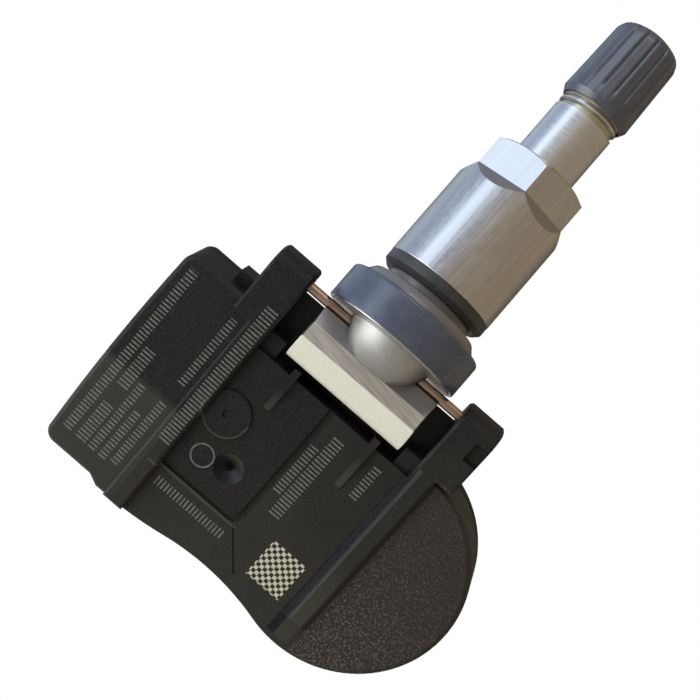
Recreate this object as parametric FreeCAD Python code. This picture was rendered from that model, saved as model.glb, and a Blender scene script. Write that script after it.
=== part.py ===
import FreeCAD, Part
import math
import os

# Clamp-in tyre pressure sensor: a turned valve held in the rim's valve hole, and a moulded
# housing that swivels on a pin through the valve's ball.
# The origin is on the valve axis at the rim seat. +Z runs along the valve towards its cap,
# +X along the pivot pin, and the housing's marked face looks towards -Y.

# Clearances, and how far parts of one moulding run into each other
RUNNING_FIT = 0.05
SLIP_FIT = 0.10
MOULD_GAP = 0.35
LAP = 0.30
NEAR = 0.01

# Pivot pin
PIN_DROP = 6.70
PIN_R = 0.60
PIN_LENGTH = 30.6
REST_SWIVEL = 20.0
MOST_SWIVEL = 32.0

# Valve foot: a bar across the ball, in distances below the pin and half thickness
FOOT_SPAN_R = 8.30
FOOT_HALF = 1.95
FOOT_START = 0.88
FOOT_START_HALF = 0.85
FOOT_FACE_START = 2.90
FOOT_FACE_END = 4.75
FOOT_REACH = 7.35
FOOT_NOSE = 0.45
FOOT_NOSE_T = 0.50
FOOT_BACK_END = 6.40
FOOT_EDGE = 0.25

# Valve ball and flange
BALL_R = 5.60
BALL_RISE = 1.97
BALL_BANDS = 4
FLANGE_RISE = 0.78
FLANGE_R = 8.45
FLANGE_T = 1.10
FLANGE_LIP = 0.15

# Rim grommet, from the rim seat
GROMMET_R = 8.95
GROMMET_SHOULDER = 1.30
LIP_R = 7.75
LIP_TOP_R = 7.00
NECK_R = 5.65
NECK_H = 1.00

# Slip washer
WASHER_T = 1.60
WASHER_R = 6.95

# Collar nut
NUT_R = 7.00
NUT_COLLAR_H = 11.80
NUT_SHOULDER_H = 1.45
NUT_HEX_AF = 12.0
NUT_HEX_H = 4.35
NUT_CHAMFER_DEG = 30.0
NUT_CHAMFER_IN = 0.25

# Valve stem above the flange, heights from the rim seat
NUT_THREAD_R = 4.25
NUT_THREAD_TOP = 13.6
SHANK_R = 3.85
TIP_Z = 38.2
CORE_THREAD_R = 2.60
CORE_THREAD_LENGTH = 4.2
CORE_DEPTH = 1.2
CORE_NECK_R = 1.95
CORE_SEAT_R = 2.10
CORE_SEAL_T = 2.60
CORE_END_Z = 26.2
CHAMBER_Z = 22.0
AIR_BORE_R = 1.00
AIR_BORE_DROP = 2.40

# Valve core inside parts
CORE_BORE_R = 1.30
CORE_FLOOR_T = 1.40
CORE_PIN_R = 0.45
CORE_PIN_TIP = 0.25
CORE_COLLAR_R = 1.15
CORE_COLLAR_T = 0.50
CORE_CUP_R = 1.60
CORE_CUP_T = 0.90
SPRING_LENGTH = 6.0
SPRING_WIRE = 0.26
SPRING_R = 0.88
SPRING_TURNS = 2

# Dust cap
CAP_MOUTH_Z = 29.35
CAP_HEIGHT = 11.10
CAP_BASE_R = 4.50
CAP_TOP_R = 4.25
CAP_CROWN = 1.45
CAP_GROOVES = 17
CAP_GROOVE_W = 0.50
CAP_GROOVE_DEPTH = 0.20
CAP_SKIRT = 2.10
CAP_SEAL_T = 0.85
CAP_SEAL_R = 3.60

# Housing levels, along its face normal from the pin axis
EAR_FACE = 2.60
BOX_FACE = 1.90
LOBE_FACE = 1.80
PANEL_FACE = 1.40
CEILING = 0.10
FLOOR = -2.60
SEAM = -4.30
COVER_INNER = -5.30
BACK = -6.40
WALL = 1.30

# Housing plan, measured across and down from the pin
BOX_SIDE = 24.15
BOX_BOW = 0.40
BOX_TOP = 5.35
BOX_BOTTOM = 33.90
BOX_CORNER = 1.50
STEP_X = 16.6
SPINE_OVERHANG = 0.70
WAIST_X = 0.50
WAIST_BOTTOM = 33.20
WAIST_LEFT = 6.00
LOBE_X = 12.53
LOBE_DROP = 20.80
LOBE_R = 14.03
CRADLE_END = 3.00
SWING_CUT = 0.60
FLOOR_END = 1.40
POCKET_DROP = 8.95
EDGE_BEVEL = 0.50
LOBE_BEVEL = 0.60

# Ears, spine and ribs
EAR_IN = 11.10
EAR_OUT = 16.10
EAR_REACH = 1.90
EAR_NOSE_R = 2.40
EAR_BACK = 1.30
EAR_BEVEL = 0.30
EAR_FOOT = 6.90
SPINE_OUT = 13.85
RIB_FOOT_L = 10.65
RIB_L = 11.70
RIB_R = 13.85
RIB_FOOT_R = 14.15
RIB_END = 31.0
LEDGE_OUT = 18.30
LEDGE_TOP = 3.90
LEDGE_FACE = -1.00
SHELF_IN = 8.90
SHELF_TOP = 6.60
SHELF_FACE = 0.70
EAR_POCKET_W = 1.80
EAR_POCKET_H = 2.50
EAR_POCKET_TOP = 0.40
EAR_POCKET_DEPTH = 0.80

# Marks on the central panel
GROOVE_W = 0.80
GROOVE_DEPTH = 0.45
GROOVE_X = 0.0
GROOVE_DROP = 26.60
GROOVE_CORNER = 1.50
CREASE_DROP = 31.7
CREASE_X = 3.60
CREASE_W = 0.30
CREASE_DEPTH = 0.20
BOSS_X = -8.90
BOSS_DROP = 17.30
BOSS_R = 2.90
BOSS_H = 0.30
BOSS_DIMPLE_R = 0.50
BOSS_DIMPLE_DEPTH = 0.25
PORT_X = -4.70
PORT_DROP = 22.20
PORT_CONE_R = 1.90
PORT_R = 0.50
PORT_CONE_DEPTH = 0.80
FIN_T = 0.90
FIN_LEFT_X = -5.88
FIN_RIGHT_X = 5.88
FIN_START = 7.80
FIN_FLAT = 10.9
FIN_END_LEFT = 14.3
FIN_END_RIGHT = 16.0
FIN_FACE = 2.00

# Electronics
BOARD_T = 1.00
CHIP_SIDE = 7.00
CHIP_T = 2.00
GASKET_T = 0.70
GASKET_SIDE = 4.40
BOARD_RIGHT = 1.60
POST_SIDE = 1.80
CELL_R = 10.0
CELL_T = 5.00
CELL_ROOM = 1.30
TAB_T = 0.15
TAB_W = 3.00
TAB_TOP_DROP = 16.2
TAB_BOTTOM_DROP = 23.0
TAB_REACH = 6.0
TAB_BEND_X = -0.40
TAB_FOOT = 1.20
ANTENNA_T = 0.50
ANTENNA_H = 1.80
ANTENNA_INSET = 0.80
ANTENNA_RISE = 4.00
ANTENNA_DOWN = 14.0
ANTENNA_ACROSS = 13.0
COIL_LENGTH = 7.50
COIL_W = 2.40
COIL_H = 2.20
COIL_FLANGE = 0.90
COIL_SHY = 0.14
COIL_X = -15.5
COIL_DROP = 13.2
CRYSTAL = (3.20, 2.50, 0.80)
CRYSTAL_X = -15.2
CRYSTAL_GAP = 1.80
CAPACITOR = (1.30, 0.80, 0.80)
CAPACITOR_PITCH = 1.80

V = FreeCAD.Vector
ORIGIN = V(0, 0, 0)
AXIS = V(0, 0, 1)

# Heights on the valve axis that several pieces share
PIN_Z = -PIN_DROP
BALL_Z = PIN_Z + BALL_RISE
FLANGE_Z = PIN_Z + FLANGE_RISE
WASHER_Z = NECK_H
NUT_Z = WASHER_Z + WASHER_T
NUT_COLLAR_TOP = NUT_Z + NUT_COLLAR_H
NUT_HEX_Z = NUT_COLLAR_TOP + NUT_SHOULDER_H
NUT_TOP = NUT_HEX_Z + NUT_HEX_H
CORE_TOP = TIP_Z - CORE_DEPTH
CORE_HEAD_Z = CORE_TOP - CORE_THREAD_LENGTH
CORE_SEAT_Z = CORE_HEAD_Z - CORE_SEAL_T
SPRING_Z = CORE_END_Z + CORE_FLOOR_T
CAP_TOP_Z = CAP_MOUTH_Z + CAP_HEIGHT

# Levels inside the housing that several pieces share
CHIP_FACE = CEILING - GASKET_T
BOARD_FACE = CHIP_FACE - CHIP_T
BOARD_BACK = BOARD_FACE - BOARD_T
CELL_TOP = CEILING - TAB_T
CELL_BOTTOM = CELL_TOP - CELL_T

# Lower end of the spine, past the box side
SPINE_BOTTOM = BOX_BOTTOM + SPINE_OVERHANG

# Edges of the circuit board, clear of the walls round it
BOARD_LEFT = BOX_SIDE - BOX_BOW - WALL - MOULD_GAP
BOARD_TOP = POCKET_DROP + WALL + MOULD_GAP
BOARD_BOTTOM = WAIST_BOTTOM - WALL - MOULD_GAP


def block(x0, x1, y0, y1, z0, z1):
    """Box between three pairs of limits."""
    return Part.makeBox(x1 - x0, y1 - y0, z1 - z0, V(x0, y0, z0))


def rod(radius, z0, z1, x=0.0, y=0.0):
    """Cylinder along Z."""
    return Part.makeCylinder(radius, z1 - z0, V(x, y, z0))


def polygon(points):
    """Closed wire through corner points."""
    return Part.makePolygon(points + points[:1])


def prism(wire, travel):
    """Solid that a closed flat wire sweeps along a vector."""
    return Part.Face(wire).extrude(travel)


def turned(outline):
    """Solid turned about the valve axis from (radius, height) corners."""
    wire = polygon([V(r, 0, z) for r, z in outline])
    return Part.Face(wire).revolve(ORIGIN, AXIS, 360)


def edges_at(shape, level):
    """Edges that lie in the plane Z = level."""
    found = []
    for edge in shape.Edges:
        box = edge.BoundBox
        if abs(box.ZMin - level) < 1e-4 and abs(box.ZMax - level) < 1e-4:
            found.append(edge)
    return found


def upright_edges(shape, x, y):
    """Edges parallel to Z through one plan point."""
    found = []
    for edge in shape.Edges:
        box = edge.BoundBox
        flat = box.XLength < 1e-4 and box.YLength < 1e-4
        if flat and abs(box.XMin - x) < 1e-3 and abs(box.YMin - y) < 1e-3:
            found.append(edge)
    return found


def arc_edge(start, middle, end):
    """Circular edge through three points."""
    return Part.Arc(start, middle, end).toShape()


# Valve

def foot_bar():
    """Bar below the ball: milled flats front and back, and a long sloped front face."""
    section = [
        (FOOT_START, FOOT_START_HALF),
        (FOOT_FACE_START, FOOT_HALF),
        (FOOT_FACE_END, FOOT_HALF),
        (FOOT_REACH, -FOOT_NOSE),
        (FOOT_REACH, -FOOT_NOSE - FOOT_NOSE_T),
        (FOOT_BACK_END, -FOOT_HALF),
        (FOOT_FACE_START, -FOOT_HALF),
        (FOOT_START, -FOOT_START_HALF),
    ]
    wire = polygon([V(-FOOT_SPAN_R, -out, PIN_Z - down) for down, out in section])
    bar = prism(wire, V(2 * FOOT_SPAN_R, 0, 0))
    bar = bar.common(rod(FOOT_SPAN_R, PIN_Z - FOOT_REACH - 1, PIN_Z))
    front = []
    for edge in bar.Edges:
        box = edge.BoundBox
        along_pin = box.XLength > FOOT_SPAN_R and box.YLength < 1e-4
        if along_pin and box.ZMax < PIN_Z - FOOT_FACE_END + NEAR:
            front.append(edge)
    return bar.makeFillet(FOOT_EDGE, front)


def valve_ball():
    """Ball turned in narrow bands, milled off flush with the foot's two flats."""
    top = math.asin((FLANGE_Z - BALL_Z) / BALL_R)
    step = (top + math.pi / 2) / BALL_BANDS
    outline = [(0, FLANGE_Z + FLANGE_T / 2)]
    outline.append((BALL_R * math.cos(top), FLANGE_Z + FLANGE_T / 2))
    for k in range(BALL_BANDS):
        angle = top - k * step
        outline.append((BALL_R * math.cos(angle), BALL_Z + BALL_R * math.sin(angle)))
    outline.append((0, BALL_Z - BALL_R))
    ball = turned(outline)
    low = BALL_Z - BALL_R - 1
    front = block(-BALL_R, BALL_R, -2 * BALL_R, -FOOT_HALF, low, PIN_Z - FOOT_FACE_START)
    back = block(-BALL_R, BALL_R, FOOT_HALF, 2 * BALL_R, low, PIN_Z - FOOT_FACE_START)
    return ball.cut([front, back])


def stem_turning():
    """Flange, nut thread, and the shank whose upper end carries the cap's fine thread."""
    outline = [
        (0, FLANGE_Z),
        (FLANGE_R, FLANGE_Z),
        (FLANGE_R, FLANGE_Z + FLANGE_T),
        (NUT_THREAD_R, FLANGE_Z + FLANGE_T),
        (NUT_THREAD_R, NUT_THREAD_TOP),
        (SHANK_R, NUT_THREAD_TOP),
        (SHANK_R, TIP_Z),
        (0, TIP_Z),
    ]
    return turned(outline)


def air_passage():
    """Core chamber, air bore down into the ball and its outlet at the back."""
    outlet_z = PIN_Z - AIR_BORE_DROP
    outline = [
        (0, outlet_z),
        (AIR_BORE_R, outlet_z),
        (AIR_BORE_R, CHAMBER_Z),
        (CORE_SEAT_R, CHAMBER_Z),
        (CORE_SEAT_R, CORE_SEAT_Z),
        (CORE_THREAD_R, CORE_SEAT_Z),
        (CORE_THREAD_R, TIP_Z + 1),
        (0, TIP_Z + 1),
    ]
    outlet = Part.makeCylinder(AIR_BORE_R, 2 * BALL_R, V(0, 0, outlet_z + AIR_BORE_R), V(0, 1, 0))
    return turned(outline).fuse(outlet)


def pin_bore():
    """Cross hole through the ball."""
    return Part.makeCylinder(PIN_R + RUNNING_FIT, 4 * BALL_R, V(-2 * BALL_R, 0, PIN_Z), V(1, 0, 0))


def valve_stem():
    body = stem_turning().fuse([valve_ball(), foot_bar()])
    return body.cut([air_passage(), pin_bore()]).removeSplitter()


def rim_grommet():
    """Rubber seal: a skirt round the flange, a shoulder, a lip and the neck for the rim hole."""
    bottom = FLANGE_Z + FLANGE_LIP
    top = -GROMMET_SHOULDER
    outline = [
        (FLANGE_R, bottom),
        (GROMMET_R, bottom),
        (GROMMET_R, top),
        (LIP_R, top),
        (LIP_TOP_R, 0),
        (NECK_R, 0),
        (NECK_R, NECK_H),
        (NUT_THREAD_R + RUNNING_FIT, NECK_H),
        (NUT_THREAD_R + RUNNING_FIT, FLANGE_Z + FLANGE_T),
        (FLANGE_R, FLANGE_Z + FLANGE_T),
    ]
    return turned(outline)


def slip_washer():
    outline = [
        (NUT_THREAD_R + SLIP_FIT, WASHER_Z),
        (WASHER_R, WASHER_Z),
        (WASHER_R, WASHER_Z + WASHER_T),
        (NUT_THREAD_R + SLIP_FIT, WASHER_Z + WASHER_T),
    ]
    return turned(outline)


def milled_flat(turn):
    """Room that one flat of the hexagon and its sloped run-out take, at an angle about the axis."""
    flat = NUT_HEX_AF / 2
    outline = polygon([
        V(flat, -NUT_R, NUT_TOP + LAP),
        V(flat, -NUT_R, NUT_HEX_Z),
        V(NUT_R, -NUT_R, NUT_COLLAR_TOP),
        V(NUT_R + LAP, -NUT_R, NUT_COLLAR_TOP),
        V(NUT_R + LAP, -NUT_R, NUT_TOP + LAP),
    ])
    room = prism(outline, V(0, 2 * NUT_R, 0))
    room.rotate(V(0, 0, 0), V(0, 0, 1), turn)
    return room


def collar_nut():
    """Turned and bored sleeve, chamfered at its top, with six milled flats and a corner towards -Y."""
    land = NUT_HEX_AF / 2 - NUT_CHAMFER_IN
    fall = math.tan(math.radians(NUT_CHAMFER_DEG)) * (NUT_R - land)
    blank = turned([
        (NUT_THREAD_R + RUNNING_FIT, NUT_Z),
        (NUT_R, NUT_Z),
        (NUT_R, NUT_TOP - fall),
        (land, NUT_TOP),
        (NUT_THREAD_R + RUNNING_FIT, NUT_TOP),
    ])
    return blank.cut([milled_flat(60 * k) for k in range(6)]).removeSplitter()


# Valve core

def valve_core_body():
    """Threaded head and barrel, bored for the spring and the plunger."""
    outline = [
        (CORE_PIN_R + SLIP_FIT, CORE_END_Z),
        (CORE_NECK_R, CORE_END_Z),
        (CORE_NECK_R, CORE_HEAD_Z),
        (CORE_THREAD_R, CORE_HEAD_Z),
        (CORE_THREAD_R, CORE_TOP),
        (CORE_BORE_R, CORE_TOP),
        (CORE_BORE_R, SPRING_Z),
        (CORE_PIN_R + SLIP_FIT, SPRING_Z),
    ]
    return turned(outline)


def valve_core_seal():
    """Ring under the head that seats on the step of the stem's bore."""
    outline = [
        (CORE_NECK_R, CORE_SEAT_Z),
        (CORE_THREAD_R, CORE_SEAT_Z),
        (CORE_THREAD_R, CORE_HEAD_Z),
        (CORE_NECK_R, CORE_HEAD_Z),
    ]
    return turned(outline)


def valve_core_spring():
    """Coil of square wire round the plunger, between the barrel's floor and the plunger's collar."""
    half = SPRING_WIRE / 2
    height = SPRING_LENGTH - SPRING_WIRE
    path = Part.makeHelix(height / SPRING_TURNS, height, SPRING_R)
    path.translate(V(0, 0, SPRING_Z + half))
    corners = [(-half, 0), (half, 0), (half, SPRING_WIRE), (-half, SPRING_WIRE)]
    section = polygon([V(SPRING_R + out, 0, SPRING_Z + up) for out, up in corners])
    return Part.Wire(path).makePipeShell([section], True, True)


def valve_core_pin():
    """Plunger with the collar that the spring lifts."""
    collar_z = SPRING_Z + SPRING_LENGTH
    outline = [
        (0, CORE_END_Z - CORE_CUP_T),
        (CORE_PIN_R, CORE_END_Z - CORE_CUP_T),
        (CORE_PIN_R, collar_z),
        (CORE_COLLAR_R, collar_z),
        (CORE_COLLAR_R, collar_z + CORE_COLLAR_T),
        (CORE_PIN_R, collar_z + CORE_COLLAR_T),
        (CORE_PIN_R, TIP_Z - CORE_PIN_TIP),
        (0, TIP_Z - CORE_PIN_TIP),
    ]
    return turned(outline)


def valve_core_cup():
    """Soft ring on the plunger's lower end that closes the barrel."""
    cup = rod(CORE_CUP_R, CORE_END_Z - CORE_CUP_T, CORE_END_Z)
    return cup.cut(rod(CORE_PIN_R, CORE_END_Z - 2 * CORE_CUP_T, CORE_END_Z + 1))


# Dust cap

def grip_groove(turn):
    """V-shaped groove down the cap's side and over its crown, in its own place round the cap."""
    lean = math.degrees(math.atan2(CAP_BASE_R - CAP_TOP_R, CAP_HEIGHT))
    deep = CAP_BASE_R - CAP_GROOVE_DEPTH
    out = CAP_BASE_R + CAP_GROOVE_DEPTH
    foot_z = CAP_MOUTH_Z + CAP_SKIRT
    section = polygon([V(deep, 0, foot_z), V(out, -CAP_GROOVE_W, foot_z), V(out, CAP_GROOVE_W, foot_z)])
    groove = prism(section, V(0, 0, CAP_HEIGHT))
    groove.rotate(V(CAP_BASE_R, 0, CAP_MOUTH_Z), V(0, 1, 0), -lean)
    groove.rotate(ORIGIN, AXIS, turn)
    return groove


def dust_cap():
    """Tapered cap with a bevelled crown and grip grooves that stop above its skirt."""
    outline = [
        (0, CAP_MOUTH_Z),
        (CAP_BASE_R, CAP_MOUTH_Z),
        (CAP_TOP_R, CAP_TOP_Z - CAP_CROWN),
        (CAP_TOP_R - CAP_CROWN, CAP_TOP_Z),
        (0, CAP_TOP_Z),
    ]
    grooves = [grip_groove(360.0 / CAP_GROOVES * k) for k in range(CAP_GROOVES)]
    thread = rod(SHANK_R + SLIP_FIT, CAP_MOUTH_Z - 1, TIP_Z + CAP_SEAL_T)
    return turned(outline).cut(grooves + [thread])


def cap_seal():
    return rod(CAP_SEAL_R, TIP_Z, TIP_Z + CAP_SEAL_T)


# Housing, drawn flat with the pin axis as X, the ears towards +Y and the marked face towards +Z

def plan_outline():
    """Outline of the moulding: box side on the left, waist at the bottom, round lobe on the right."""
    side_top = V(BOX_BOW - BOX_SIDE, -BOX_TOP, 0)
    side_mid = V(-BOX_SIDE, -(BOX_TOP + BOX_BOTTOM) / 2, 0)
    side_low = V(BOX_BOW - BOX_SIDE, -BOX_BOTTOM, 0)
    reach = LOBE_X - WAIST_X
    drop = WAIST_BOTTOM - LOBE_DROP
    waist_r = (reach ** 2 + drop ** 2 - LOBE_R ** 2) / (2 * (LOBE_R - drop))
    waist_y = -WAIST_BOTTOM - waist_r
    share = LOBE_R / (LOBE_R + waist_r)
    join = V(LOBE_X - reach * share, -LOBE_DROP + (waist_y + LOBE_DROP) * share, 0)
    turn = math.asin(WAIST_LEFT / waist_r)
    crest = V(WAIST_X, -WAIST_BOTTOM, 0)
    leave = V(WAIST_X - WAIST_LEFT, waist_y + waist_r * math.cos(turn), 0)
    sweep_r = (leave.y + SPINE_BOTTOM) / (1 - math.cos(turn))
    spine_low = V(leave.x - sweep_r * math.sin(turn), -SPINE_BOTTOM, 0)
    half = turn / 2
    sweep_mid = V(spine_low.x + sweep_r * math.sin(half), spine_low.y + sweep_r * (1 - math.cos(half)), 0)
    step_low = V(-STEP_X + (SPINE_BOTTOM - BOX_BOTTOM) * 2, -SPINE_BOTTOM, 0)
    lobe_top = V(EAR_OUT, -LOBE_DROP + math.sqrt(LOBE_R ** 2 - (EAR_OUT - LOBE_X) ** 2), 0)
    lobe_side = V(LOBE_X + LOBE_R, -LOBE_DROP, 0)
    edges = [
        arc_edge(side_top, side_mid, side_low),
        Part.makeLine(side_low, V(-STEP_X, -BOX_BOTTOM, 0)),
        Part.makeLine(V(-STEP_X, -BOX_BOTTOM, 0), step_low),
        Part.makeLine(step_low, spine_low),
        arc_edge(spine_low, sweep_mid, leave),
        arc_edge(leave, crest, join),
        arc_edge(join, lobe_side, lobe_top),
        Part.makeLine(lobe_top, V(EAR_OUT, -CRADLE_END, 0)),
        Part.makeLine(V(EAR_OUT, -CRADLE_END, 0), V(-EAR_OUT, -CRADLE_END, 0)),
        Part.makeLine(V(-EAR_OUT, -CRADLE_END, 0), V(-EAR_OUT, -BOX_TOP, 0)),
        Part.makeLine(V(-EAR_OUT, -BOX_TOP, 0), side_top),
    ]
    return Part.Wire(edges)


def slab(low, high):
    """The outline as a plate between two levels, with the box side's corners rounded."""
    wire = plan_outline()
    wire.translate(V(0, 0, low))
    plate = prism(wire, V(0, 0, high - low))
    x = BOX_BOW - BOX_SIDE
    corners = upright_edges(plate, x, -BOX_TOP) + upright_edges(plate, x, -BOX_BOTTOM)
    return plate.makeFillet(BOX_CORNER, corners)


def hollow(low, high):
    """Room inside the walls between two levels, clear of the cradle and the ears."""
    wire = plan_outline().makeOffset2D(-WALL)
    wire.translate(V(0, 0, low))
    room = prism(wire, V(0, 0, high - low))
    wide = 2 * BOX_SIDE
    cradle = block(-EAR_IN - WALL, EAR_IN + WALL, -POCKET_DROP - WALL, wide, low - 1, high + 1)
    ears = block(-LEDGE_OUT, EAR_OUT, -BOX_TOP - 2 * WALL, wide, low - 1, high + 1)
    return room.cut([cradle, ears])


def box_side():
    """Left part of the marked face, raised above the panel."""
    plate = slab(SEAM, BOX_FACE)
    left = block(-2 * BOX_SIDE, LAP - SPINE_OUT, -2 * BOX_BOTTOM, NEAR - BOX_TOP, SEAM, BOX_FACE)
    kept = plate.common(left)
    rim = []
    for edge in edges_at(kept, BOX_FACE):
        if edge.BoundBox.XMin < -SPINE_OUT:
            rim.append(edge)
    return kept.makeChamfer(EDGE_BEVEL, rim)


def lobe_side():
    """Round right part of the marked face, raised above the panel."""
    disc = rod(LOBE_R, SEAM, LOBE_FACE, LOBE_X, -LOBE_DROP)
    disc = disc.makeChamfer(LOBE_BEVEL, edges_at(disc, LOBE_FACE))
    wide = 2 * LOBE_R
    return disc.common(block(RIB_R, LOBE_X + wide, -LOBE_DROP - wide, -EAR_FOOT, SEAM, LOBE_FACE))


def ear(side):
    """One ear: flat face, nose rounded round the pin, and a back that runs down to the seam."""
    nose_y = EAR_REACH - EAR_NOSE_R
    nose_z = EAR_FACE - EAR_NOSE_R
    slant = math.sqrt(0.5)
    nose_mid = V(0, nose_y + EAR_NOSE_R * slant, nose_z + EAR_NOSE_R * slant)
    back_z = -EAR_BACK
    heel = V(0, EAR_REACH - EAR_BACK, back_z - EAR_BACK)
    heel_mid = V(0, EAR_REACH - EAR_BACK + EAR_BACK * slant, back_z - EAR_BACK * slant)
    edges = [
        Part.makeLine(V(0, -EAR_FOOT, EAR_FACE), V(0, nose_y, EAR_FACE)),
        arc_edge(V(0, nose_y, EAR_FACE), nose_mid, V(0, EAR_REACH, nose_z)),
        Part.makeLine(V(0, EAR_REACH, nose_z), V(0, EAR_REACH, back_z)),
        arc_edge(V(0, EAR_REACH, back_z), heel_mid, heel),
        Part.makeLine(heel, V(0, -CRADLE_END, SEAM)),
        Part.makeLine(V(0, -CRADLE_END, SEAM), V(0, -EAR_FOOT, SEAM)),
        Part.makeLine(V(0, -EAR_FOOT, SEAM), V(0, -EAR_FOOT, EAR_FACE)),
    ]
    wire = Part.Wire(edges)
    wire.translate(V(EAR_IN, 0, 0))
    body = prism(wire, V(EAR_OUT - EAR_IN, 0, 0))
    rim = []
    for edge in body.Edges:
        box = edge.BoundBox
        if box.XLength < NEAR and box.ZMax > FLOOR - LAP and box.YMax > nose_y - NEAR:
            rim.append(edge)
    body = body.makeChamfer(EAR_BEVEL, rim)
    if side < 0:
        body = body.mirror(ORIGIN, V(1, 0, 0))
    return body


def spine():
    """Straight raised spine from the left ear to the bottom edge."""
    body = block(-SPINE_OUT, -EAR_IN, LAP / 2 - SPINE_BOTTOM, -CRADLE_END, SEAM, EAR_FACE)
    return body.makeChamfer(EAR_BEVEL, edges_at(body, EAR_FACE))


def rib():
    """Raised rib from the right ear down, sloped on its inner side."""
    section = [
        (RIB_FOOT_L, PANEL_FACE - LAP),
        (RIB_L, EAR_FACE),
        (RIB_R, EAR_FACE),
        (RIB_FOOT_R, PANEL_FACE - LAP),
    ]
    wire = polygon([V(x, -RIB_END, z) for x, z in section])
    body = prism(wire, V(0, RIB_END - CRADLE_END - 1, 0))
    return body.makeChamfer(EAR_BEVEL, edges_at(body, EAR_FACE))


def fin(x, end):
    """Thin support rib from the cradle's floor onto the panel, sloping down at its lower end."""
    side = x - FIN_T / 2
    inside = -POCKET_DROP - WALL / 2
    outline = [
        V(side, -FIN_START, FLOOR),
        V(side, -FIN_START, FIN_FACE),
        V(side, -FIN_FLAT, FIN_FACE),
        V(side, -end, PANEL_FACE),
        V(side, -end, PANEL_FACE - WALL / 2),
        V(side, inside, PANEL_FACE - WALL / 2),
        V(side, inside, FLOOR),
    ]
    return prism(polygon(outline), V(FIN_T, 0, 0))


def floor_wedge():
    """End of the cradle floor, sloped back to clear the flange as it swings."""
    side = EAR_IN + LAP
    outline = [
        V(-side, -CRADLE_END - LAP, SEAM),
        V(-side, -CRADLE_END - LAP, FLOOR),
        V(-side, -FLOOR_END, FLOOR),
        V(-side, -CRADLE_END, SEAM),
    ]
    return prism(polygon(outline), V(2 * side, 0, 0))


def ball_room():
    """Round notch in the cradle's end, which the valve's ball needs as the housing tilts."""
    lean = math.radians(MOST_SWIVEL)
    return rod(BALL_R + MOULD_GAP, BACK - 1, FLOOR, 0, BALL_RISE * math.cos(lean))


def board_posts():
    """Square posts under the ceiling that the board rests on at its outer corners."""
    posts = []
    x = -BOARD_LEFT + POST_SIDE / 2
    for y in (-BOARD_TOP - POST_SIDE, -BOARD_BOTTOM):
        posts.append(block(x, x + POST_SIDE, y, y + POST_SIDE, BOARD_FACE, CEILING + WALL / 2))
    return posts


def panel_groove():
    """L-shaped groove that frames the port's panel, round at its corner."""
    depth = PANEL_FACE - GROOVE_DEPTH
    right = GROOVE_X + GROOVE_W / 2
    left = GROOVE_X - GROOVE_W / 2
    low = -GROOVE_DROP - GROOVE_W / 2
    high = -GROOVE_DROP + GROOVE_W / 2
    outer = block(-EAR_IN, right, low, -POCKET_DROP + 1, depth, PANEL_FACE + 1)
    outer = outer.makeFillet(GROOVE_CORNER, upright_edges(outer, right, low))
    inner = block(-EAR_IN - 1, left, high, -POCKET_DROP + 2, depth - 1, PANEL_FACE + 2)
    inner = inner.makeFillet(GROOVE_CORNER - GROOVE_W / 2, upright_edges(inner, left, high))
    return outer.cut(inner)


def waist_crease():
    """Shallow crease that runs from the groove's corner towards the waist."""
    start = V(GROOVE_X, -GROOVE_DROP - GROOVE_W / 2 - CREASE_W, PANEL_FACE - CREASE_DEPTH)
    end = V(CREASE_X, -CREASE_DROP, PANEL_FACE - CREASE_DEPTH)
    across = V(CREASE_W, 0, 0)
    return prism(polygon([start, end, end + across, start + across]), V(0, 0, 2 * CREASE_DEPTH))


def air_port():
    """Funnel and hole that lead tyre air to the sensor chip."""
    cone = Part.makeCone(
        PORT_R, PORT_CONE_R, PORT_CONE_DEPTH, V(PORT_X, -PORT_DROP, PANEL_FACE - PORT_CONE_DEPTH)
    )
    return cone.fuse(rod(PORT_R, CEILING - 1, PANEL_FACE, PORT_X, -PORT_DROP))


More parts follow.
